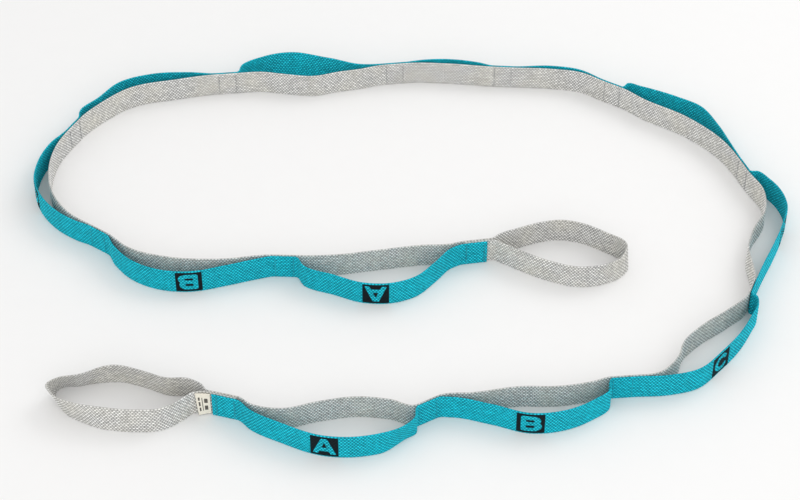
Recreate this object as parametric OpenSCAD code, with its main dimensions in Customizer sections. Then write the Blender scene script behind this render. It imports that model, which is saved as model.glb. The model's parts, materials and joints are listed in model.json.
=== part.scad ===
// Stretching strap for physiotherapy: a long base webbing with a row of loops sewn
// along it and a handle loop folded back at each end. It lies on edge in one big turn.
// The strap runs from handle 1, along loops a1 to f1 and f2 to a2, to handle 2.

/* [Webbing] */
// Width of the webbing, which is the height of the strap as it lies on edge
web_w = 25; // [24:1:30]
// Thickness of the webbing
web_t = 1.8; // [1.2:0.1:1.8]
// Air between two layers that lie on each other
layer_gap = 0.1; // [0.05:0.05:0.1]

/* [Seams] */
// Distance between the two rows of stitches at a seam
row_gap = 16; // [14:0.5:16.5]
// Gap in the middle of a seam, where the strap bends
bend_gap = 2; // [1.6:0.1:2.2]
// How far the loop webbing runs on past the last row of stitches
loop_end = 3.5; // [3:0.5:4]
// Thickness of the thread in a row of stitches
thread_t = 0.6; // [0.4:0.1:0.8]
// Width of the stitches where they show on the webbing's face
stitch_w = 1.2; // [1:0.1:1.6]
// How far the stitches stand proud of the webbing
stitch_proud = 0.3; // [0.2:0.1:0.5]
// Distance from a row's end to the webbing's edge
row_inset = 2; // [1.5:0.5:3]

/* [Care label] */
// Length of the label along the strap
label_l = 10; // [8:1:10]
// Height of the label
label_h = 23; // [16:1:24]
// Thickness of the label
label_t = 0.6; // [0.4:0.1:0.8]
// Angle that the label stands out at, clear of the handle's curve
label_lean = 20; // [20:1:40]

/* [Hidden] */
// The loops in order along the strap
LOOPS = ["a1", "b1", "c1", "d1", "e1", "f1", "f2", "e2", "d2", "c2", "b2", "a2"];
FIRST = 0;
LAST = len(LOOPS) - 1;

grey = [0.70, 0.70, 0.69];
teal = [0.05, 0.60, 0.68];
cream = [0.91, 0.88, 0.82];
thread_grey = [0.62, 0.62, 0.61];

// The middle of the laid strap, which becomes the origin
lay_centre = [7, 5.7];

// Depth of one layer of webbing in a stack, and the depths of the layers at a seam
layer = web_t + layer_gap;
handle_seam_out = 2 * layer;
// Straight stretch past a row of stitches, before a curve starts
straight_past_row = 1.5;
// Longest step along a curve
curve_step = 4;
// Where the base webbing and the handle end, from the middle of an end seam
neck_end = row_gap / 2 + loop_end + 1;
handle_start = neck_end + bend_gap;
webbing_end_l = row_gap / 2 + straight_past_row;
label_gap = 0.3;
label_start = handle_start + 0.5;
label_z = (web_w - label_h) / 2;

// Each seam's middle on the base webbing, and its heading along the strap
SEAMS = [
    [-143, -200, -16], [22, -207, 30], [185, -179.5, 5], [305.5, -71, 68], [317, 89, 110],
    [205, 207.5, 148], [100, 234.5, 176], [-5, 239.5, 187], [-168, 224, 186],
    [-307.5, 147, 243], [-269, 1.5, 325], [-102, -33, 358], [66, -13.5, 369]
];

// Points that each base stretch passes between its seams
BASE_POINTS = [
    [[-122, -211], [-98, -216], [-66, -208], [-36, -203], [-8, -206]],
    [[62, -198], [99, -191.5], [132, -191], [160, -185.5]],
    [[216, -175], [233, -157], [240, -139], [257, -120], [281, -101]],
    [[309.5, -46], [308.5, -22], [315, 0], [330, 30], [331, 55]],
    [[304, 120], [272, 158], [234, 184.5]],
    [[176, 226], [148, 231.5]],
    [[47, 240]],
    [[-41, 231], [-58, 227.5], [-84, 220.5], [-112, 223.5], [-135, 227]],
    [[-215, 215.5], [-262, 201], [-284, 181]],
    [[-320, 118], [-323.5, 85], [-315, 48], [-297, 22]],
    [[-240, -23], [-205, -35], [-160, -38]],
    [[-57, -32.5], [-17, -26], [20, -20], [44, -18.5]]
];

// Points that each loop passes as it bows out between its seams
LOOP_POINTS = [
    [[-123, -217.5], [-98, -231.5], [-62, -246], [-30, -246.5], [2, -235], [13, -224]],
    [[42, -203.5], [75, -211.5], [108, -221.5], [139, -217], [160, -206], [174, -194]],
    [[225, -178.5], [250, -171], [271, -150.5], [290, -127], [302.5, -105], [308.5, -92], [308, -84]],
    [[320, -42], [332, -17], [343, 9], [350, 35], [346, 56], [338, 70], [329, 80]],
    [[309, 119], [300, 147], [286, 175], [266, 188.5], [232, 205], [220, 209.5]],
    [[174, 231], [148, 236.5]],
    [[78, 241.5], [49, 247], [25, 246.5]],
    [[-40, 239.5], [-70, 249.5], [-103, 259], [-134, 251], [-154, 238]],
    [[-205, 226.5], [-240, 224], [-271, 211], [-289, 187], [-304, 168]],
    [[-327, 119], [-335, 92], [-335, 68], [-326, 46], [-309, 25], [-291, 12]],
    [[-254, -20], [-237, -39], [-213, -51], [-185, -54], [-152, -46], [-126, -38]],
    [[-85, -46], [-58, -58], [-32, -68], [-8, -68.5], [14, -60], [31, -42], [46, -24]]
];

// Points round each handle, from the layer under the loop's end to the base layer
HANDLE_1_POINTS = [
    [-171, -198.5], [-181, -207], [-195, -216], [-220, -218], [-246, -215], [-270, -209.5],
    [-286, -201], [-293, -189.5], [-284, -178.5], [-267, -172], [-237, -164.5],
    [-213, -171.5], [-194, -179.5], [-176, -181], [-164, -188.5]
];
HANDLE_2_POINTS = [
    [91, -17.5], [108, -28], [133, -41], [157, -48], [180, -44.5], [197, -34.5],
    [203, -23.5], [198, -14], [184, -3.5], [161, 9.5], [144, 13], [130, 11], [106, 2.5],
    [87, -6.5]
];

// Directions, and a point at a seam: along it from its middle, and out from the base
function unit(v) = v / norm(v);
function ahead(angle) = [cos(angle), sin(angle)];
function outward(angle) = [sin(angle), -cos(angle)];
function at_seam(k, along, out) =
    [SEAMS[k][0], SEAMS[k][1]] - lay_centre
    + along * ahead(SEAMS[k][2]) + out * outward(SEAMS[k][2]);
function laid(points) = [for (p = points) p - lay_centre];
function reversed(list) = [for (i = [len(list) - 1:-1:0]) list[i]];

// A smooth curve through points: cubic pieces whose slopes allow for uneven spacing
function slope(p, i) =
    i == 0 ? unit(p[1] - p[0]) :
    i == len(p) - 1 ? unit(p[i] - p[i - 1]) :
    let (before = norm(p[i] - p[i - 1]), after = norm(p[i + 1] - p[i]))
    (unit(p[i] - p[i - 1]) * after + unit(p[i + 1] - p[i]) * before) / (before + after);
function between(p, i, t) =
    let (chord = norm(p[i + 1] - p[i]), t2 = t * t, t3 = t2 * t)
    (2 * t3 - 3 * t2 + 1) * p[i] + (t3 - 2 * t2 + t) * chord * slope(p, i)
    + (3 * t2 - 2 * t3) * p[i + 1] + (t3 - t2) * chord * slope(p, i + 1);
function curve(p) = concat(
    [for (i = [0:len(p) - 2])
        let (steps = ceil(norm(p[i + 1] - p[i]) / curve_step))
        for (s = [0:steps - 1]) between(p, i, s / steps)],
    [p[len(p) - 1]]
);

// The two sides of a strip of webbing, half its thickness to either side of a curve
function side(c, offset) = [for (i = [0:len(c) - 1])
    let (way = unit(c[min(i + 1, len(c) - 1)] - c[max(i - 1, 0)]))
    c[i] + offset * [way[1], -way[0]]];

// The points of a seam's half: its end, its row of stitches and the straight past it
function seam_start(k, from, out) = [
    at_seam(k, from, out),
    at_seam(k, row_gap / 2, out),
    at_seam(k, row_gap / 2 + straight_past_row, out)
];
function seam_finish(k, to, out) = [
    at_seam(k, -row_gap / 2 - straight_past_row, out),
    at_seam(k, -row_gap / 2, out),
    at_seam(k, to, out)
];

// The rows of stitches of one loop, as [seam, distance along it, layers there]
function rows_of(i) = concat(
    i == FIRST ? [[i, -row_gap / 2, 3]] : [],
    [[i, row_gap / 2, i == FIRST ? 3 : 2]],
    [[i + 1, -row_gap / 2, i == LAST ? 3 : 2]],
    i == LAST ? [[i + 1, row_gap / 2, 3]] : []
);

module strip(points) {
    c = curve(points);
    linear_extrude(web_w)
        polygon(concat(side(c, web_t / 2), reversed(side(c, -web_t / 2))));
}

// Places its children at a row of stitches, with X along the strap and -Y outward
module at_row(row) {
    place = at_seam(row[0], row[1], 0);
    translate([place[0], place[1], row_inset]) rotate(SEAMS[row[0]][2]) children();
}

// Slots that the thread of a row passes through
module row_slots(rows) {
    for (row = rows)
        at_row(row)
            translate([-thread_t / 2, -row[2] * layer, 0])
                cube([thread_t, (row[2] + 1) * layer, web_w - 2 * row_inset]);
}

// One row of stitches: the thread through the layers and a ridge on either face
module stitch_row(row) {
    row_h = web_w - 2 * row_inset;
    inner_face = web_t / 2;
    outer_face = -(row[2] - 1) * layer - web_t / 2;
    at_row(row) {
        translate([-thread_t / 2, outer_face, 0])
            cube([thread_t, inner_face - outer_face, row_h]);
        for (y = [inner_face, outer_face - stitch_proud])
            translate([-stitch_w / 2, y, 0]) cube([stitch_w, stitch_proud, row_h]);
    }
}

module base(i) {
    start = i == FIRST ? -neck_end : bend_gap / 2;
    finish = i == LAST ? neck_end : -bend_gap / 2;
    color(grey) difference() {
        strip(concat(seam_start(i, start, 0), laid(BASE_POINTS[i]), seam_finish(i + 1, finish, 0)));
        row_slots(rows_of(i));
    }
}

module loop(i) {
    start = i == FIRST ? -row_gap / 2 - loop_end : bend_gap / 2;
    finish = i == LAST ? row_gap / 2 + loop_end : -bend_gap / 2;
    start_out = i == FIRST ? handle_seam_out : layer;
    finish_out = i == LAST ? handle_seam_out : layer;
    color(teal) difference() {
        strip(concat(
            seam_start(i, start, start_out),
            laid(LOOP_POINTS[i]),
            seam_finish(i + 1, finish, finish_out)
        ));
        row_slots(rows_of(i));
    }
}

module stitches(i) {
    color(thread_grey) for (row = rows_of(i)) stitch_row(row);
}

// The folded-back end of the base webbing, sewn between the base and the loop's end
module webbing_end(k, way, i) {
    color(grey) difference() {
        strip([at_seam(k, -way * neck_end, layer), at_seam(k, way * webbing_end_l, layer)]);
        row_slots(rows_of(i));
    }
}

// A handle: the base webbing led round in a loop, from one layer of the neck to the other
module handle(k, way, points) {
    straight_end = handle_start + straight_past_row;
    color(grey) strip(concat(
        [at_seam(k, way * handle_start, layer), at_seam(k, way * straight_end, layer)],
        laid(points),
        [at_seam(k, way * straight_end, 0), at_seam(k, way * handle_start, 0)]
    ));
}

module care_label() {
    place = at_seam(FIRST, -label_start, layer + web_t / 2 + label_gap);
    color(cream) translate([place[0], place[1], label_z])
        rotate(SEAMS[FIRST][2] + 180 + label_lean) cube([label_l, label_t, label_h]);
}

handle(FIRST, -1, HANDLE_1_POINTS);  // handle_1
webbing_end(FIRST, 1, FIRST);  // webbing_end_1
care_label();
for (i = [FIRST:LAST]) {
    base(i);
    loop(i);
    stitches(i);
}
webbing_end(LAST + 1, -1, LAST);  // webbing_end_2
handle(LAST + 1, 1, HANDLE_2_POINTS);  // handle_2
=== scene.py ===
import json
import math

import bpy
import numpy as np
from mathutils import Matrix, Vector

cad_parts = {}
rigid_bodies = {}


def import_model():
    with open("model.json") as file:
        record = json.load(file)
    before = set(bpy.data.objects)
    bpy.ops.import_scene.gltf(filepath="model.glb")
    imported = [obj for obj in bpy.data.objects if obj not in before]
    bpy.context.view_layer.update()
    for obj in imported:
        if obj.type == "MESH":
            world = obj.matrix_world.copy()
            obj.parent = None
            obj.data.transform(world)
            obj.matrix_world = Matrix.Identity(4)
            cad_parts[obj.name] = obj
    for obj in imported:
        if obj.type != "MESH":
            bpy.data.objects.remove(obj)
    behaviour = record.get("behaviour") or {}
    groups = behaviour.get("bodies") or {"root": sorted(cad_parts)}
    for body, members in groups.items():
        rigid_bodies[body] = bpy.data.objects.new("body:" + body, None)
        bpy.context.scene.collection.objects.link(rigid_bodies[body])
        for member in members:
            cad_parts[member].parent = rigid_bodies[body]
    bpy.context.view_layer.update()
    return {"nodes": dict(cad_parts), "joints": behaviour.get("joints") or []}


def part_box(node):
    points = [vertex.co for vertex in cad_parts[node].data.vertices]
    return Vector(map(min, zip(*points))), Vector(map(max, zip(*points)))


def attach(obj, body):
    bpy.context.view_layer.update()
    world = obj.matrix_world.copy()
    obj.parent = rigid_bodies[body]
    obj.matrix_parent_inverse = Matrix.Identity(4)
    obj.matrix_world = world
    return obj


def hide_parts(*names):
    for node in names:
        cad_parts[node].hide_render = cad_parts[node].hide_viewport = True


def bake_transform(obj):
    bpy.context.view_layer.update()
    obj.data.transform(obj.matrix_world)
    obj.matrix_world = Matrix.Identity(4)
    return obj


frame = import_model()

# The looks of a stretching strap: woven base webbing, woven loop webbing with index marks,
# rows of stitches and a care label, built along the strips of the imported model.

MM = 0.001

# The loops in order along the strap, and the bodies from end to end
LOOPS = ["a1", "b1", "c1", "d1", "e1", "f1", "f2", "e2", "d2", "c2", "b2", "a2"]
STRAPS = ["strap_" + name for name in LOOPS]
BODIES = ["handle_1_end"] + STRAPS + ["handle_2_end"]
# The letter on each loop; the first six stand upright, and the others on their heads
MARKS = "ABCDEFFEDCBA"
UPRIGHT_MARKS = 6

# The weave: yarns run along the webbing in rows, and each rises and dives once in four steps
ROWS = 14
FLOAT_STEPS = 4
WEB_W = (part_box("handle_1")[1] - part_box("handle_1")[0]).z
ROW_H = WEB_W / ROWS
STEP = 0.74 * MM
CURVE_SUBSTEPS = 8
# Points up one face: one on each yarn, and one at each border of a row
FACE_POINTS = 2 * ROWS + 1
FACE_HEIGHTS = np.arange(FACE_POINTS) * ROW_H / 2

# Half the thickness of the webbing at a yarn's crown, and how far a dive and the gap between
# two rows go in from there
CROWN = 0.86 * MM
FLOAT_DIP = 0.3 * MM
ROW_DIP = 0.34 * MM

# The edge: how far its points go in, from the outermost one on, how far the outermost stands
# back from the very edge, and half of how far the very edge comes and goes from step to step
EDGE_ROUND = [0.42 * MM, 0.16 * MM, 0.04 * MM]
EDGE_INSET = 0.25 * MM
EDGE_WAVE = 0.02 * MM

# Ink is a depth in mm inside what is printed, and below 0 where nothing is
NO_INK = -1.0

# A webbing's two faces: on the strap, the base webbing lies inside and the loop webbing outside
INNER = -1
OUTER = 1

# The CAD strips are plain prisms; their plan points are matched to this many decimals of a metre,
# and their top faces lie this near the highest point
PLAN_DECIMALS = 6
TOP_DEPTH = 0.01 * MM

# A row of stitches: how far it stays off the webbing's edges, how near each other all its points
# are in plan, and how deep and how far along it pinches the webbing
ROW_INSET = 2 * MM
ROW_SPAN = 6 * MM
STITCHES_IN_ROW = 8
PINCH = 0.24 * MM
PINCH_REACH = 1.1 * MM

# A stitch: its length as a share of the pitch, then, in thread radii, how far its middle stands
# out, how far its ends go in from there, and how far they lean along the webbing
STITCH_R = 0.3 * MM
STITCH_SHARE = 0.86
STITCH_OUT = 0.55
STITCH_DIVE = 1.5
STITCH_LEAN = 0.12
# The thread thins to this share of its section at its ends
STITCH_TIP = 0.02
STITCH_RINGS = 9
STITCH_SIDES = 6


# ---------------------------------------------------------------- the strips of the model

def joint_between(a, b):
    """The place of the hinge between two bodies."""
    for joint in frame["joints"]:
        if {joint["parent"], joint["child"]} == {a, b}:
            return np.array(joint["pos_m"])
    raise ValueError(f"no joint between {a} and {b}")


def unit(v):
    return v / np.linalg.norm(v)


def plan_key(vertex):
    """A vertex's place in plan, rounded so that the same place always reads the same."""
    return (round(vertex.co.x, PLAN_DECIMALS), round(vertex.co.y, PLAN_DECIMALS))


def top_outline(node):
    """The outline of a strip's top face: its plan points in order round the strip."""
    mesh = frame["nodes"][node].data
    top = max(v.co.z for v in mesh.vertices) - TOP_DEPTH
    keys = [plan_key(v) for v in mesh.vertices]
    uses = {}
    for face in mesh.polygons:
        if all(mesh.vertices[i].co.z > top for i in face.vertices):
            ring = [keys[i] for i in face.vertices]
            for a, b in zip(ring, ring[1:] + ring[:1]):
                if a != b:
                    uses[frozenset((a, b))] = uses.get(frozenset((a, b)), 0) + 1
    # An edge that only one face uses is on the outline
    near = {}
    for edge, count in uses.items():
        if count == 1:
            a, b = edge
            near.setdefault(a, []).append(b)
            near.setdefault(b, []).append(a)
    outline = [min(near)]
    while len(outline) < len(near):
        onward = [p for p in near[outline[-1]] if p not in outline[-2:]]
        outline.append(onward[0])
    return np.array(outline)


def closest_on(path, point):
    """The point of a path that is nearest to a point."""
    a, b = path[:-1], path[1:]
    d = b - a
    t = np.clip(((point - a) * d).sum(1) / (d * d).sum(1), 0, 1)
    on = a + t[:, None] * d
    return on[np.argmin(np.linalg.norm(on - point, axis=1))]


def centreline(node, start):
    """The middle of a strip in plan, from the end that is nearer to start."""
    ring = top_outline(node)
    sides = np.roll(ring, -1, axis=0) - ring
    sides /= np.linalg.norm(sides, axis=1)[:, None]
    # The outline turns right round at a strip's two cut ends, and nowhere else
    turns_back = (np.roll(sides, 1, axis=0) * np.roll(sides, -1, axis=0)).sum(1)
    first, second = sorted(np.argsort(turns_back)[:2])
    one = ring[first + 1:second + 1]
    other = np.vstack([ring[second + 1:], ring[:first + 1]])
    middle = np.array([(p + closest_on(other, p)) / 2 for p in one])
    if np.linalg.norm(middle[0] - start) > np.linalg.norm(middle[-1] - start):
        middle = middle[::-1]
    return middle


class Tape:
    """One webbing from end to end: its stations, a step apart, with their ways and sides.

    Its sewn side is the face that the stitches show on.
    """

    def __init__(self, points, sewn_side):
        gaps = np.linalg.norm(np.diff(points, axis=0), axis=1)
        at = np.concatenate([[0], np.cumsum(gaps)])
        slopes = np.gradient(points, at, axis=0)
        # A smooth curve through the points, finely stepped, and then stations evenly along it
        fine = np.arange(0, at[-1], STEP / CURVE_SUBSTEPS)
        i = np.clip(np.searchsorted(at, fine, side="right") - 1, 0, len(points) - 2)
        h = gaps[i][:, None]
        t = (fine - at[i])[:, None] / h
        curve = ((1 + 2 * t) * (1 - t) ** 2 * points[i] + t * (1 - t) ** 2 * h * slopes[i]
                 + t ** 2 * (3 - 2 * t) * points[i + 1] + t ** 2 * (t - 1) * h * slopes[i + 1])
        along = np.concatenate([[0], np.cumsum(np.linalg.norm(np.diff(curve, axis=0), axis=1))])
        stations = np.arange(0, along[-1], STEP)
        self.plan = np.stack([np.interp(stations, along, curve[:, k]) for k in (0, 1)], axis=1)
        way = np.gradient(self.plan, axis=0)
        self.way = way / np.linalg.norm(way, axis=1)[:, None]
        self.out = np.stack([self.way[:, 1], -self.way[:, 0]], axis=1)
        self.sewn_side = sewn_side
        # How far its foot and its top are drawn out in plan, how far it is pinched, and its ink
        self.foot = np.zeros((len(self.plan), 2))
        self.top = np.zeros((len(self.plan), 2))
        self.pinch = np.zeros(len(self.plan))
        self.ink = np.full((len(self.plan), FACE_POINTS), NO_INK)

    def nearest(self, point):
        """The station nearest to a plan point."""
        return int(np.argmin(np.linalg.norm(self.plan - point, axis=1)))


def base_tape(lines):
    """The base webbing: from its folded-back end, round handle 1, along the strap, and back."""
    parts = [lines["webbing_end_1"], lines["handle_1"]]
    parts += [lines["base_" + name] for name in LOOPS]
    parts += [lines["handle_2"], lines["webbing_end_2"]]
    return Tape(np.vstack(parts), INNER)


def loop_tape(lines):
    """The loop webbing, from loop a1 to loop a2."""
    return Tape(np.vstack([lines["loop_" + name] for name in LOOPS]), OUTER)


def strip_lines():
    """The centreline of each strip, each in the direction that its webbing runs."""
    hinges = [joint_between(a, b)[:2] for a, b in zip(BODIES, BODIES[1:])]
    lines = {}
    for i, name in enumerate(LOOPS):
        for kind in ("base_", "loop_"):
            lines[kind + name] = centreline(kind + name, hinges[i])
    inner_1 = lines["base_a1"][0]
    inner_2 = lines["base_a2"][-1]
    # Handle 1 runs in from its folded-back layer to the base webbing, and handle 2 the other way
    lines["handle_1"] = centreline("handle_1", inner_1)[::-1]
    lines["handle_2"] = centreline("handle_2", inner_2)
    lines["webbing_end_1"] = centreline("webbing_end_1", lines["handle_1"][0])[::-1]
    lines["webbing_end_2"] = centreline("webbing_end_2", lines["handle_2"][-1])
    return lines


# ---------------------------------------------------------------- where the webbing slants

# A strip, how far along it (0 to 1) and how widely in mm the webbing is drawn out of upright
# there, and how far that takes its foot and its top in x and y, in mm
SLANTS = [
    ("handle_1", 0.24, 70, (0, -1.8), (0, 0.6)),
    ("handle_1", 0.4, 20, (1.5, 4.5), (0, 0)),
    ("handle_1", 0.5, 22, (4.2, 12.3), (-0.5, 2.1)),
    ("handle_1", 0.6, 22, (0, 4), (0, -3)),
    ("handle_1", 0.76, 60, (0, 1.2), (0, -2.5)),
    ("handle_2", 0.5, 14, (0, 0), (-1.8, 4.5)),
    ("loop_a1", 0.84, 16, (0, 5.5), (0, -0.5)),
    ("loop_e2", 0.5, 42, (0, -9), (0, 2)),
]
# Where a slant has faded out, as a multiple of its width
FADE_END = 1.5


def draw_out(tape, lines, names):
    """Slants the webbing at the places that lie in the named strips."""
    for name, part, reach, foot, top in SLANTS:
        if name in names:
            line = lines[name]
            first, last = tape.nearest(line[0]), tape.nearest(line[-1])
            place = first + (last - first) * part
            off = (np.arange(len(tape.plan)) - place) * STEP / (reach * MM)
            wave = np.cos(off * math.pi / (2 * FADE_END)) ** 2
            fade = np.where(np.abs(off) < FADE_END, wave, 0)[:, None]
            tape.foot += fade * np.array(foot) * MM
            tape.top += fade * np.array(top) * MM


# ---------------------------------------------------------------- rows of stitches

def stitch_rows(node):
    """The middle of each row of stitches in a node, in plan."""
    rows = []
    for v in frame["nodes"][node].data.vertices:
        p = np.array(v.co[:2])
        for row in rows:
            if np.linalg.norm(row[0] - p) < ROW_SPAN:
                row.append(p)
                break
        else:
            rows.append([p])
    return [(np.min(row, axis=0) + np.max(row, axis=0)) / 2 for row in rows]


def stitch(centre, way, out, length):
    """One stitch: a thread that comes up out of the webbing, lies on it and goes back in."""
    points = []
    up = np.array([0, 0, 1.0])
    for i in range(STITCH_RINGS):
        t = 2 * i / (STITCH_RINGS - 1) - 1
        r = STITCH_R * math.sqrt(max(STITCH_TIP, 1 - t ** 6))
        stands_out = STITCH_OUT - STITCH_DIVE * t ** 4
        middle = centre + up * t * length / 2 + out * STITCH_R * stands_out
        middle = middle + way * STITCH_LEAN * STITCH_R * t
        for s in range(STITCH_SIDES):
            a = 2 * math.pi * s / STITCH_SIDES
            points.append(middle + r * (math.cos(a) * way + math.sin(a) * out))
    return points, stitch_faces()


def stitch_faces():
    """The faces of one stitch: its skin, ring by ring, and its two ends."""
    ring = range(STITCH_SIDES)
    faces = []
    for i in range(STITCH_RINGS - 1):
        here, there = i * STITCH_SIDES, (i + 1) * STITCH_SIDES
        for s in ring:
            n = (s + 1) % STITCH_SIDES
            faces.append([here + s, here + n, there + n, there + s])
    last = (STITCH_RINGS - 1) * STITCH_SIDES
    faces.append(list(ring)[::-1])
    faces.append([last + s for s in ring])
    return faces


def stitching(name, places):
    """All the stitches of one loop's rows: places are (plan point, way, outward side, tint)."""
    points, faces, tints = [], [], []
    pitch = (WEB_W - 2 * ROW_INSET) / STITCHES_IN_ROW
    length = STITCH_SHARE * pitch
    for plan, way, out, tint in places:
        for k in range(STITCHES_IN_ROW):
            centre = np.array([plan[0], plan[1], ROW_INSET + (k + 0.5) * pitch])
            more, their_faces = stitch(centre, np.append(way, 0), np.append(out, 0), length)
            faces += [[i + len(points) for i in face] for face in their_faces]
            points += more
            tints += [tint] * len(more)
    mesh = bpy.data.meshes.new(name)
    mesh.from_pydata([tuple(p) for p in points], [], faces)
    mesh.attributes.new("tint", "FLOAT", "POINT").data.foreach_set("value", tints)
    return show(name, mesh)


# ---------------------------------------------------------------- index marks

def to_stroke(p, a, b):
    """Distance of points from the line between two points."""
    a, b = np.array(a, float), np.array(b, float)
    d = b - a
    t = np.clip(((p - a) @ d) / (d @ d), 0, 1)
    return np.linalg.norm(p - a - t[..., None] * d, axis=-1)


def to_bow(p, centre, radius, half_h, side):
    """Distance from a half oval that bows to one side of its centre."""
    q = p - np.array(centre, float)
    x = side * q[..., 0] / radius
    y = q[..., 1] / half_h
    ring = np.abs(np.hypot(x, y) - 1) * min(radius, half_h)
    tips = np.minimum(np.linalg.norm(q - (0, half_h), axis=-1),
                      np.linalg.norm(q + (0, half_h), axis=-1))
    return np.where(x > 0, ring, tips)


# A block letter fills a box from -1 to 1 both ways. Its strokes are lines between two points,
# and bows: a centre, a radius, which is negative for a bow to the left, and half a height
LETTERS = {
    "A": [("line", (-0.78, -1), (-0.12, 0.8)), ("line", (0.78, -1), (0.12, 0.8)),
          ("line", (-0.4, -0.42), (0.4, -0.42)), ("line", (-0.12, 0.8), (0.12, 0.8))],
    "B": [("line", (-0.62, -0.76), (-0.62, 0.76)), ("line", (-0.62, 0.76), (0.2, 0.76)),
          ("line", (-0.62, 0), (0.2, 0)), ("line", (-0.62, -0.76), (0.2, -0.76)),
          ("bow", (0.2, 0.38), 0.42, 0.38), ("bow", (0.2, -0.38), 0.48, 0.38)],
    "C": [("bow", (0.1, 0), -0.75, 0.76), ("line", (0.1, 0.76), (0.35, 0.76)),
          ("line", (0.1, -0.76), (0.35, -0.76)), ("line", (0.35, 0.76), (0.6, 0.5)),
          ("line", (0.35, -0.76), (0.6, -0.5))],
    "D": [("line", (-0.62, -0.76), (-0.62, 0.76)), ("line", (-0.62, 0.76), (0, 0.76)),
          ("line", (-0.62, -0.76), (0, -0.76)), ("bow", (0, 0), 0.64, 0.76)],
    "E": [("line", (-0.62, -0.76), (-0.62, 0.76)), ("line", (-0.62, 0.76), (0.62, 0.76)),
          ("line", (-0.62, 0), (0.5, 0)), ("line", (-0.62, -0.76), (0.62, -0.76))],
    "F": [("line", (-0.55, -0.85), (-0.55, 0.76)), ("line", (-0.55, 0.76), (0.62, 0.76)),
          ("line", (-0.55, 0), (0.45, 0))],
}
# The printed square, and the letter in it
MARK_L = 23.5 * MM
MARK_BOTTOM = 1.2 * MM
MARK_TOP = WEB_W - 1.6 * MM
LETTER_HALF = np.array([9.6, 8.8]) * MM
LETTER_STROKE = 4.0 * MM
# How far some squares are printed past the middle of their loop, in mm
MARK_OFF = {"a1": 2.5, "b1": -4, "b2": 10, "a2": -13.5}


def letter_depth(letter, p):
    """How far inside a letter's strokes points are; below 0 outside."""
    nearest = np.full(p.shape[:-1], np.inf)
    for stroke in LETTERS[letter]:
        if stroke[0] == "line":
            a, b = (np.array(end) * LETTER_HALF for end in stroke[1:])
            nearest = np.minimum(nearest, to_stroke(p, a, b))
        else:
            centre, radius, half_h = stroke[1:]
            bow = to_bow(p, np.array(centre) * LETTER_HALF, abs(radius) * LETTER_HALF[0],
                         half_h * LETTER_HALF[1], math.copysign(1, radius))
            nearest = np.minimum(nearest, bow)
    in_box = (LETTER_HALF - np.abs(p)).min(axis=-1)
    return np.minimum(LETTER_STROKE / 2 - nearest, in_box)


def print_marks(tape, lines):
    """Each loop's square, with its letter left in the webbing's own colour."""
    reach = math.ceil(MARK_L / 2 / STEP) + 1
    inside = np.minimum(FACE_HEIGHTS - MARK_BOTTOM, MARK_TOP - FACE_HEIGHTS)
    up = FACE_HEIGHTS - (MARK_BOTTOM + MARK_TOP) / 2
    for i, (name, letter) in enumerate(zip(LOOPS, MARKS)):
        line = lines["loop_" + name]
        middle = (tape.nearest(line[0]) + tape.nearest(line[-1])) // 2
        middle += round(MARK_OFF.get(name, 0) * MM / STEP)
        for k in range(middle - reach, middle + reach + 1):
            along = (k - middle) * STEP
            box = np.minimum(MARK_L / 2 - abs(along), inside)
            p = np.stack([np.full(FACE_POINTS, along), up], axis=-1)
            depth = letter_depth(letter, p if i < UPRIGHT_MARKS else -p)
            tape.ink[k] = np.maximum(tape.ink[k], np.minimum(box, -depth) / MM)


# ---------------------------------------------------------------- webbing meshes

def show(name, mesh):
    """A smooth-shaded object for a mesh."""
    for face in mesh.polygons:
        face.use_smooth = True
    piece = bpy.data.objects.new(name, mesh)
    bpy.context.scene.collection.objects.link(piece)
    return piece


def face_offset(tape, stations, side):
    """How far one woven face stands off the webbing's middle, at each station and height."""
    points = np.arange(FACE_POINTS)
    row_from_top = ROWS - 1 - points // 2
    # Each row floats half a turn on from the next
    turns = stations[:, None] / FLOAT_STEPS + row_from_top * 0.5
    wave = side * np.cos(2 * np.pi * turns)
    dip = np.where(points % 2 == 1, FLOAT_DIP * (1 - wave) / 2, ROW_DIP)
    # The outer points run even: the selvedge is woven closer
    dip[:, [0, 1, -2, -1]] = ROW_DIP / 2
    for k, drawn_in in enumerate(EDGE_ROUND):
        dip[:, [k, -1 - k]] += drawn_in
    if side == tape.sewn_side:
        inside = len(EDGE_ROUND)
        dip[:, inside:-inside] += tape.pinch[stations, None]
    return side * (CROWN - dip)


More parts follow.
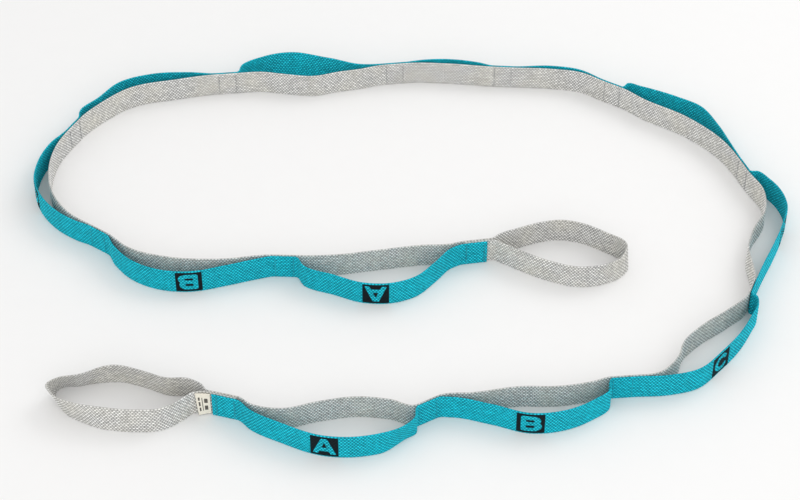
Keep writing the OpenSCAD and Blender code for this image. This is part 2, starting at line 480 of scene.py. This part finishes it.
def ribbon(name, tape, first, last, printed=False):
    """A length of webbing, from one station to another, as a closed mesh with woven relief."""
    stations = np.arange(first, last + 1)
    count = len(stations)
    heights = FACE_HEIGHTS.copy()
    heights[0] += EDGE_INSET
    heights[-1] -= EDGE_INSET
    faces_up = np.tile(heights, (count, 1))
    weft_turn = EDGE_WAVE * (1 + np.cos(np.pi * stations))[:, None]
    # Round the webbing: up the inner face, over the upper edge, down the outer, and the lower edge
    offset = np.hstack([face_offset(tape, stations, INNER), 0 * weft_turn,
                        face_offset(tape, stations, OUTER)[:, ::-1], 0 * weft_turn])
    up = np.hstack([faces_up, WEB_W - weft_turn, faces_up[:, ::-1], weft_turn])
    part = (up / WEB_W)[..., None]
    foot, top = tape.foot[stations, None, :], tape.top[stations, None, :]
    plan = tape.plan[stations, None, :] + tape.out[stations, None, :] * offset[..., None]
    plan = plan + foot * (1 - part) + top * part
    # The webbing keeps its width as it leans, so it comes down a little
    slant = ((top - foot) ** 2).sum(axis=-1, keepdims=True) / WEB_W ** 2
    points = np.concatenate([plan, up[..., None] * np.sqrt(1 - slant)], axis=-1)
    mesh = bpy.data.meshes.new(name)
    faces = tube_faces(count, offset.shape[1])
    mesh.from_pydata(points.reshape(-1, 3), [], faces)
    lay_uv(mesh, stations, heights, faces)
    if printed:
        ink = np.full(offset.shape, NO_INK)
        ink[:, FACE_POINTS + 1:2 * FACE_POINTS + 1] = tape.ink[stations, ::-1]
        mesh.attributes.new("ink", "FLOAT", "POINT").data.foreach_set("value", ink.ravel())
    return show(name, mesh)


def tube_faces(count, ring):
    """The faces of a closed tube of flat rings: its skin, then a cap at either end."""
    faces = []
    for i in range(count - 1):
        here, there = i * ring, (i + 1) * ring
        for j in range(ring):
            n = (j + 1) % ring
            faces.append([here + j, here + n, there + n, there + j])
    edge = ring // 2 - 1
    cap = [[j, j + 1, ring - 3 - j, ring - 2 - j] for j in range(edge - 1)]
    cap += [[edge - 1, edge, edge + 1], [ring - 2, ring - 1, 0]]
    last = (count - 1) * ring
    faces += [face[::-1] for face in cap]
    faces += [[last + v for v in face] for face in cap]
    return faces


def lay_uv(mesh, stations, heights, faces):
    """U runs along the webbing and V round it, both in webbing widths."""
    v = np.concatenate([heights, [WEB_W], 2 * WEB_W - heights[::-1], [2 * WEB_W]]) / WEB_W
    ring = len(v)
    u = stations * STEP / WEB_W
    uv = []
    for face in faces:
        around = [i % ring for i in face]
        wraps = 0 in around and ring - 1 in around
        for i, j in zip(face, around):
            uv += [u[i // ring], 2 + v[0] if wraps and j == 0 else v[j]]
    mesh.uv_layers.new(name="webbing").data.foreach_set("uv", uv)


# ---------------------------------------------------------------- care label

# The label's tape: its thickness, the radius of its fold, how far on along the strap its root
# lies, and how far apart the points along it are
LABEL_LAYER = 0.26 * MM
LABEL_FOLD_R = 0.17 * MM
LABEL_ROOT = 1.8 * MM
LABEL_POINT_GAP = 0.4 * MM
LABEL_LEVELS = 44
FOLD_POINTS = 9
# The label comes off the strap over the first quarter of its way out
LABEL_TURN_OFF = 0.25
# How fast its foot swings off to the side, at what part of its height it doesn't swing at all,
# and what share of the swing also draws it in
LABEL_HANG = 0.3
LABEL_STILL = 0.7
LABEL_DRAW_IN = 0.7
# Plain bars down the label: middle and half width in mm from its fold, then lowest and highest
# point in mm from its foot
LABEL_BARS = [(2.4, 0.75, 4, 8), (2.4, 0.75, 9.5, 14), (2.4, 0.75, 15.5, 19),
              (4.9, 0.35, 4, 18.5), (8.0, 1.5, 4.5, 9.5), (8.0, 1.5, 12.5, 17.5)]


def label_frame(lines):
    """The label's sewn edge and its tip in plan, and the ways along the strap, out and aside."""
    corners = np.array(sorted({plan_key(v) for v in frame["nodes"]["care_label"].data.vertices}))
    hinge = joint_between("handle_1_end", "label")[:2]
    corners = corners[np.argsort(np.linalg.norm(corners - hinge, axis=1))]
    near, far = corners[:2].mean(axis=0), corners[2:].mean(axis=0)
    heading = unit(lines["base_a1"][1] - lines["base_a1"][0])
    way = unit(far - near)
    aside = np.array([-way[1], way[0]])
    if aside @ np.array([heading[1], -heading[0]]) < 0:
        aside = -aside
    return near, far, heading, way, aside


def label_line(root, bend, tip, aside):
    """The label's tape in plan: out from its root, round the fold at its tip, and back."""
    reach = [root, bend + (tip - bend) * LABEL_TURN_OFF, tip]
    legs = np.linalg.norm(np.diff(reach, axis=0), axis=1)
    at = np.concatenate([[0], np.cumsum(legs)])
    spaced = np.arange(0, at[-1], LABEL_POINT_GAP)
    leg = np.stack([np.interp(spaced, at, np.array(reach)[:, k]) for k in (0, 1)], axis=1)
    way = unit(tip - bend)
    turn = np.radians(np.linspace(-90, 90, FOLD_POINTS))[:, None]
    fold = tip + LABEL_FOLD_R * (np.cos(turn) * way + np.sin(turn) * aside)
    return np.vstack([leg - LABEL_FOLD_R * aside, fold, leg[::-1] + LABEL_FOLD_R * aside])


def label_ring(line):
    """The outline in plan of the label's tape, which has its thickness to either side of a line."""
    way_on = np.gradient(line, axis=0)
    way_on /= np.linalg.norm(way_on, axis=1)[:, None]
    across = np.stack([way_on[:, 1], -way_on[:, 0]], axis=1) * LABEL_LAYER / 2
    return np.vstack([line + across, (line - across)[::-1]])


def bar_depth(from_fold, up):
    """How far inside the label's bars a place is, in mm; below 0 outside."""
    return max(min(half - abs(from_fold - middle), up - lowest, highest - up)
               for middle, half, lowest, highest in LABEL_BARS)


def label_mesh(ring, near, far, way, aside, low, high):
    """The label's tape as a mesh that hangs a little out of upright, with its print as ink."""
    levels = np.linspace(low, high, LABEL_LEVELS)
    from_root = np.clip((ring - near) @ way, 0, None)
    from_fold = ((far - ring) @ way) / MM
    points, ink = [], []
    for z in levels:
        swing = LABEL_HANG * (LABEL_STILL - (z - low) / (high - low))
        hang = (swing * from_root)[:, None]
        points += [(x, y, z) for x, y in ring + hang * (aside - LABEL_DRAW_IN * way)]
        ink += [bar_depth(x, (z - low) / MM) for x in from_fold]
    mesh = bpy.data.meshes.new("care_label_tape")
    mesh.from_pydata(points, [], label_faces(len(levels), len(ring)))
    mesh.attributes.new("ink", "FLOAT", "POINT").data.foreach_set("value", ink)
    return mesh


def label_faces(count, ring):
    """The faces of the label: its skin, level by level, and its lower and upper edges."""
    faces = []
    for i in range(count - 1):
        here, there = i * ring, (i + 1) * ring
        faces += [[here + j, here + (j + 1) % ring, there + (j + 1) % ring, there + j]
                  for j in range(ring)]
    edge = [[j, j + 1, ring - 2 - j, ring - 1 - j] for j in range(ring // 2 - 1)]
    last = (count - 1) * ring
    faces += [face[::-1] for face in edge]
    faces += [[last + v for v in face] for face in edge]
    return faces


def care_label(lines, material):
    """The folded label, which stands out from the neck of handle 1."""
    low, high = (corner.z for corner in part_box("care_label"))
    near, far, heading, way, aside = label_frame(lines)
    line = label_line(near + heading * LABEL_ROOT, near, far - way * LABEL_FOLD_R, aside)
    mesh = label_mesh(label_ring(line), near, far, way, aside, low, high)
    label = show("care_label_tape", mesh)
    label.data.materials.append(material)
    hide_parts("care_label")
    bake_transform(label)


# ---------------------------------------------------------------- materials

# How strongly the surfaces mirror what is around them
SPECULAR = 0.15
# The weave's rise has a middle and a swing
RISE_MIDDLE = 0.58
RISE_SWING = 0.42
# How far the fibres lean over a yarn, how many of them a row has, and how much they add to its rise
FIBRE_LEAN = 0.7
FIBRES_IN_ROW = 3.0
FIBRE_HEIGHT = 0.35
# How far the print's edge follows the yarns, in mm
INK_RAGGED = 0.3
# Texture scales: the fibres' is per float, the soil's and the slubs' per width of webbing, and
# the others are per metre
FIBRE_SCALE = 4.2
SOIL_SCALE = 0.9
SLUB_SCALE = 9.0
TWIST_SCALE = 900.0
FLUFF_SCALE = 1600.0
TAPE_SCALE = 650.0
GRAIN_SCALE = 900.0
PAPER_SCALE = 60.0


class Graph:
    """A material's nodes, with a short way to add one and wire it."""

    def __init__(self, name, roughness, sheen):
        self.material = bpy.data.materials.new(name)
        self.material.use_nodes = True
        self.tree = self.material.node_tree
        self.shader = self.tree.nodes["Principled BSDF"]
        self.shader.inputs["Roughness"].default_value = roughness
        self.shader.inputs["Sheen Weight"].default_value = sheen
        self.shader.inputs["Specular IOR Level"].default_value = SPECULAR

    def node(self, kind, **settings):
        made = self.tree.nodes.new(kind)
        for key, value in settings.items():
            setattr(made, key, value)
        return made

    def wire(self, value, socket):
        """Links a socket to another, or sets it to a value that is the same all over."""
        if isinstance(value, bpy.types.NodeSocket):
            self.tree.links.new(value, socket)
        else:
            socket.default_value = value

    def math(self, operation, *values):
        made = self.node("ShaderNodeMath", operation=operation)
        for value, socket in zip(values, made.inputs):
            self.wire(value, socket)
        return made.outputs[0]

    def vector(self, x, y, z=0.0):
        made = self.node("ShaderNodeCombineXYZ")
        for value, socket in zip((x, y, z), made.inputs):
            self.wire(value, socket)
        return made.outputs[0]

    def noise(self, vector, scale, detail=2.0):
        made = self.node("ShaderNodeTexNoise")
        self.wire(vector, made.inputs["Vector"])
        made.inputs["Scale"].default_value = scale
        made.inputs["Detail"].default_value = detail
        return made.outputs["Fac"]

    def mix(self, factor, a, b):
        made = self.node("ShaderNodeMix", data_type="RGBA")
        for value, socket in zip((factor, a, b), (made.inputs[0], made.inputs[6], made.inputs[7])):
            self.wire(value, socket)
        return made.outputs[2]

    def scale(self, colour, factor):
        made = self.node("ShaderNodeVectorMath", operation="SCALE")
        self.wire(colour, made.inputs[0])
        self.wire(factor, made.inputs["Scale"])
        return made.outputs[0]

    def spread(self, value, low, high, to_low, to_high):
        """Takes low to high onto to_low to to_high, and stops at either end."""
        made = self.node("ShaderNodeMapRange")
        for v, socket in zip((value, low, high, to_low, to_high), made.inputs):
            self.wire(v, socket)
        return made.outputs[0]

    def finish(self, colour, height, distance, strength):
        """Wires in the colour and the relief, and gives the material."""
        self.wire(colour, self.shader.inputs["Base Color"])
        bump = self.node("ShaderNodeBump")
        bump.inputs["Strength"].default_value = strength
        bump.inputs["Distance"].default_value = distance
        self.wire(height, bump.inputs["Height"])
        self.wire(bump.outputs[0], self.shader.inputs["Normal"])
        return self.material


class Weave(Graph):
    """The webbing's own places and yarns, as values that run over its two faces."""

    def __init__(self, name, tint):
        super().__init__(name, roughness=0.9, sheen=0.06)
        self.shader.inputs["Sheen Tint"].default_value = tint
        uv = self.node("ShaderNodeSeparateXYZ")
        self.wire(self.node("ShaderNodeUVMap", uv_map="webbing").outputs[0], uv.inputs[0])
        self.along, self.around = uv.outputs[0], uv.outputs[1]
        # Rows are counted down from the upper edge, where one face runs on into the other
        self.rows = self.math("ABSOLUTE", self.math("MULTIPLY_ADD", self.around, float(ROWS),
                                                    -float(ROWS)))
        self.row = self.math("FLOOR", self.rows)
        self.in_row = self.math("SUBTRACT", self.math("FRACT", self.rows), 0.5)
        self.turns = self.math("MULTIPLY_ADD", self.along, WEB_W / (FLOAT_STEPS * STEP),
                               self.math("MULTIPLY", self.row, 0.5))
        self.side = self.math("SIGN", self.math("SUBTRACT", self.around, 1.0))

    def rise(self):
        """How high the yarns stand: 0 in the gaps between them, and 1 on their crowns."""
        turned = self.math("COSINE", self.math("MULTIPLY", self.turns, 2 * math.pi))
        wave = self.math("MULTIPLY", turned, self.side)
        ridge = self.math("COSINE", self.math("MULTIPLY", self.in_row, math.pi))
        return self.math("MULTIPLY", ridge,
                         self.math("MULTIPLY_ADD", wave, RISE_SWING, RISE_MIDDLE))

    def fibre(self):
        """Fine streaks that run aslant over each yarn."""
        slanted = self.math("MULTIPLY_ADD", self.in_row, FIBRE_LEAN, self.turns)
        place = self.vector(slanted, self.math("MULTIPLY", self.rows, FIBRES_IN_ROW), self.side)
        return self.noise(place, FIBRE_SCALE, 3.0)

    def selvedge(self):
        """How much painted shade darkens a place near the edges, which dims the light that the
        edges catch.
        """
        from_edge = self.math("MINIMUM", self.rows,
                              self.math("SUBTRACT", float(ROWS), self.rows))
        return self.spread(from_edge, 0.1, 0.6, 0.55, 0.0)

    def shade(self, fibre):
        """How light the dye is, from fibre to fibre, yarn to yarn and place to place."""
        yarn = self.node("ShaderNodeTexWhiteNoise", noise_dimensions="3D")
        self.wire(self.vector(self.row, self.math("FLOOR", self.turns), self.side),
                  yarn.inputs["Vector"])
        slub = self.noise(self.vector(self.along, self.around), SLUB_SCALE, 2.0)
        shade = self.math("MULTIPLY", self.spread(fibre, 0.3, 0.7, 0.74, 1.16),
                          self.spread(yarn.outputs["Value"], 0.0, 1.0, 0.82, 1.12))
        return self.math("MULTIPLY", shade, self.spread(slub, 0.3, 0.7, 0.86, 1.12))


def woven(name, painted_shade, body, crown_highlight, soiled, ink=None):
    """Webbing: yarns in rows that rise and dive, with fibres, painted shade between the yarns,
    painted highlights on their crowns and uneven dye.
    """
    g = Weave(name, crown_highlight)
    rise = g.rise()
    fibre = g.fibre()
    soil = g.noise(g.vector(g.along, g.around), SOIL_SCALE, 3.0)
    # Painted shade deep between the yarns, a painted highlight pale on their crowns, painted shade
    # darker at the edges, and soiled in patches
    colour = g.mix(g.spread(rise, 0.1, 0.5, 0.0, 1.0), painted_shade, body)
    colour = g.mix(g.spread(rise, 0.5, 1.0, 0.0, 0.9), colour, crown_highlight)
    colour = g.mix(g.selvedge(), colour, g.mix(0.35, body, painted_shade))
    colour = g.mix(g.spread(soil, 0.4, 0.75, 0.0, 0.4), colour, soiled)
    colour = g.scale(colour, g.shade(fibre))
    # The print lies on the yarns, so its edge follows their rise
    if ink is not None:
        depth = g.node("ShaderNodeAttribute", attribute_name="ink").outputs["Fac"]
        depth = g.math("ADD", depth, g.math("MULTIPLY_ADD", rise, INK_RAGGED, -INK_RAGGED / 2))
        colour = g.mix(g.spread(depth, -0.05, 0.15, 0.0, 0.992), colour, ink)
    height = g.math("MULTIPLY_ADD", fibre, FIBRE_HEIGHT, rise)
    return g.finish(colour, height, 0.25 * MM, 0.8)


def thread_material(name, inner, outer):
    """Twisted sewing thread, in one colour where it shows inside and in another outside."""
    g = Graph(name, roughness=0.6, sheen=0.2)
    place = g.node("ShaderNodeTexCoord").outputs["Object"]
    twist = g.node("ShaderNodeTexWave", bands_direction="DIAGONAL")
    twist.inputs["Scale"].default_value = TWIST_SCALE
    twist.inputs["Distortion"].default_value = 0.6
    g.wire(place, twist.inputs["Vector"])
    tint = g.node("ShaderNodeAttribute", attribute_name="tint").outputs["Fac"]
    colour = g.mix(tint, inner, outer)
    shade = g.math("MULTIPLY", g.spread(twist.outputs["Fac"], 0.0, 1.0, 1.0, 0.6),
                   g.spread(g.noise(place, FLUFF_SCALE), 0.4, 0.8, 1.0, 0.8))
    return g.finish(g.scale(colour, shade), twist.outputs["Fac"], 0.08 * MM, 0.6)


def label_material(name, colour, shade, ink):
    """Fine label tape with plain printed bars."""
    g = Graph(name, roughness=0.65, sheen=0.15)
    place = g.node("ShaderNodeTexCoord").outputs["Object"]
    weave = g.node("ShaderNodeTexWave", bands_direction="Z")
    weave.inputs["Scale"].default_value = TAPE_SCALE
    weave.inputs["Distortion"].default_value = 0.4
    g.wire(place, weave.inputs["Vector"])
    grain = g.noise(place, GRAIN_SCALE)
    mixed = g.mix(g.spread(weave.outputs["Fac"], 0.0, 1.0, 0.0, 0.3), colour, shade)
    mixed = g.mix(g.spread(grain, 0.4, 0.7, 0.0, 0.4), mixed, shade)
    depth = g.node("ShaderNodeAttribute", attribute_name="ink").outputs["Fac"]
    mixed = g.mix(g.spread(depth, -0.1, 0.1, 0.0, 0.9), mixed, ink)
    return g.finish(mixed, weave.outputs["Fac"], 0.06 * MM, 0.5)


# ---------------------------------------------------------------- building the strap

def mark_sewing(base, loop, lines):
    """Draws both webbings in along the rows of stitches, and gives each row's places."""
    rows = {}
    for name in LOOPS:
        rows[name] = []
        for middle in stitch_rows("stitches_" + name):
            for tape, kind, tint in ((base, "base_", 0.0), (loop, "loop_", 1.0)):
                k = tape.nearest(closest_on(lines[kind + name], middle))
                reach = np.arange(len(tape.plan)) - k
                dent = PINCH * np.exp(-(reach * STEP / PINCH_REACH) ** 2)
                tape.pinch = np.maximum(tape.pinch, dent)
                out = tape.out[k] * tape.sewn_side
                place = tape.plan[k] + out * (CROWN - PINCH)
                rows[name].append((place, tape.way[k], out, tint))
    return rows


def bend_across(piece):
    """Bakes the piece's placement into its mesh."""
    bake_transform(piece)


def webbing_piece(name, tape, cuts, k, nodes, material, printed=False):
    """One length of webbing between two cuts, standing for its CAD strips."""
    piece = ribbon(name, tape, cuts[k], cuts[k + 1], printed)
    piece.data.materials.append(material)
    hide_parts(*nodes)
    return piece


def middles(tape, lines, kind):
    """The station at the middle of each loop's strip."""
    return [tape.nearest(lines[kind + name][len(lines[kind + name]) // 2]) for name in LOOPS]


def build_base(tape, lines, material):
    """The base webbing, in a piece for each seam, cut at the middles of the loops."""
    cuts = [0] + middles(tape, lines, "base_") + [len(tape.plan) - 1]
    last = len(LOOPS)
    for k in range(last + 1):
        if k == 0:
            name, nodes = "handle_1", ["handle_1", "webbing_end_1", "base_a1"]
        elif k == last:
            name, nodes = "handle_2", ["handle_2", "webbing_end_2", "base_a2"]
        else:
            name = LOOPS[k - 1] + "_" + LOOPS[k]
            nodes = ["base_" + LOOPS[k - 1], "base_" + LOOPS[k]]
        piece = webbing_piece("base_webbing_" + name, tape, cuts, k, nodes, material)
        bend_across(piece)


def build_loops(tape, lines, material):
    """The loop webbing, in a piece for each seam, cut at the middles of the loops."""
    cuts = [0] + middles(tape, lines, "loop_") + [len(tape.plan) - 1]
    last = len(LOOPS)
    for k in range(last + 1):
        near = LOOPS[max(k - 1, 0):k + 1]
        name = {0: "first", last: "last"}.get(k, "_".join(near))
        piece = webbing_piece("loop_webbing_" + name, tape, cuts, k,
                              ["loop_" + loop for loop in near], material,
                              printed=True)
        if k in (0, last):
            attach(piece, "strap_" + near[0])
        else:
            bend_across(piece)


def build_stitching(rows, material):
    """Each loop's rows of stitches, which ride on that loop's body."""
    for name in LOOPS:
        piece = stitching("stitching_" + name, rows[name])
        piece.data.materials.append(material)
        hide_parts("stitches_" + name)
        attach(piece, "strap_" + name)


# ---------------------------------------------------------------- the studio

# The floor: half its side in metres, how far it lies under the strap, and how dark its grain gets
FLOOR_HALF = 6.0
FLOOR_DROP = 0.05 * MM
FLOOR_GRAIN = 0.985


def sky(strength):
    """White light from all round."""
    world = bpy.data.worlds.new("studio")
    world.use_nodes = True
    world.node_tree.nodes["Background"].inputs["Color"].default_value = (1, 1, 1, 1)
    world.node_tree.nodes["Background"].inputs["Strength"].default_value = strength
    bpy.context.scene.world = world


def softbox(name, place, target, size, watts):
    """A square lamp that faces a target."""
    lamp = bpy.data.lights.new(name, "AREA")
    lamp.size = size
    lamp.energy = watts
    light = bpy.data.objects.new(name, lamp)
    light.location = place
    light.rotation_euler = (Vector(target) - Vector(place)).to_track_quat("-Z", "Y").to_euler()
    bpy.context.scene.collection.objects.link(light)


def floor(colour):
    """A sheet of paper under the strap, with a faint grain."""
    mesh = bpy.data.meshes.new("floor")
    corners = [(-1, -1), (1, -1), (1, 1), (-1, 1)]
    mesh.from_pydata([(x * FLOOR_HALF, y * FLOOR_HALF, -FLOOR_DROP) for x, y in corners],
                     [], [(0, 1, 2, 3)])
    g = Graph("floor_paper", roughness=0.9, sheen=0.0)
    place = g.node("ShaderNodeTexCoord").outputs["Object"]
    grain = g.noise(place, PAPER_SCALE)
    shade = tuple(c * FLOOR_GRAIN for c in colour[:3]) + (1,)
    mesh.materials.append(g.finish(g.mix(grain, colour, shade), grain, 0.02 * MM, 0.1))
    show("floor", mesh)


def camera(target, distance, elevation, lens):
    """The camera, which looks at a target from the front, at an elevation in degrees."""
    data = bpy.data.cameras.new("camera")
    data.lens = lens
    data.sensor_width = 36.0
    data.clip_start = 0.05
    data.clip_end = 50.0
    eye = bpy.data.objects.new("camera", data)
    angle = math.radians(elevation)
    back = Vector((0, -math.cos(angle), math.sin(angle)))
    eye.location = Vector(target) + back * distance
    eye.rotation_euler = (-back).to_track_quat("-Z", "Y").to_euler()
    bpy.context.scene.collection.objects.link(eye)
    bpy.context.scene.camera = eye


# ---------------------------------------------------------------- the scene

camera(target=(-7 * MM, -5.7 * MM, 0), distance=1.89, elevation=43, lens=94.5)
sky(0.88)
softbox("softbox_back", (1.3, 0.9, 1.6), (0, 0, 0), 1.2, 9.0)
softbox("softbox_front", (0.2, -2.1, 1.7), (0, 0, 0), 2.0, 16.0)
floor((0.866, 0.861, 0.855, 1))

lines = strip_lines()
base = base_tape(lines)
loop = loop_tape(lines)
draw_out(base, lines, ["handle_1", "handle_2"])
draw_out(loop, lines, ["loop_a1", "loop_e2"])
rows = mark_sewing(base, loop, lines)
print_marks(loop, lines)

# The colours deep between the yarns are painted shade, and those on their crowns are painted
# highlights
grey_web = woven("base_webbing_weave", painted_shade=(0.23, 0.23, 0.225, 1), body=(0.89, 0.89, 0.87, 1),
                 crown_highlight=(1.0, 1.0, 0.985, 1), soiled=(0.70, 0.67, 0.56, 1))
teal_web = woven("loop_webbing_weave", painted_shade=(0.001, 0.13, 0.21, 1), body=(0.006, 0.63, 0.775, 1),
                 crown_highlight=(0.06, 0.86, 0.97, 1), soiled=(0.003, 0.48, 0.60, 1),
                 ink=(0.005, 0.004, 0.006, 1))
thread = thread_material("sewing_thread", (0.43, 0.44, 0.45, 1), (0.005, 0.50, 0.62, 1))
tape_cream = label_material("label_tape", (0.88, 0.84, 0.74, 1), (0.70, 0.64, 0.52, 1),
                            (0.02, 0.014, 0.012, 1))

build_base(base, lines, grey_web)
build_loops(loop, lines, teal_web)
build_stitching(rows, thread)
care_label(lines, tape_cream)

bpy.context.scene.view_settings.view_transform = "Standard"
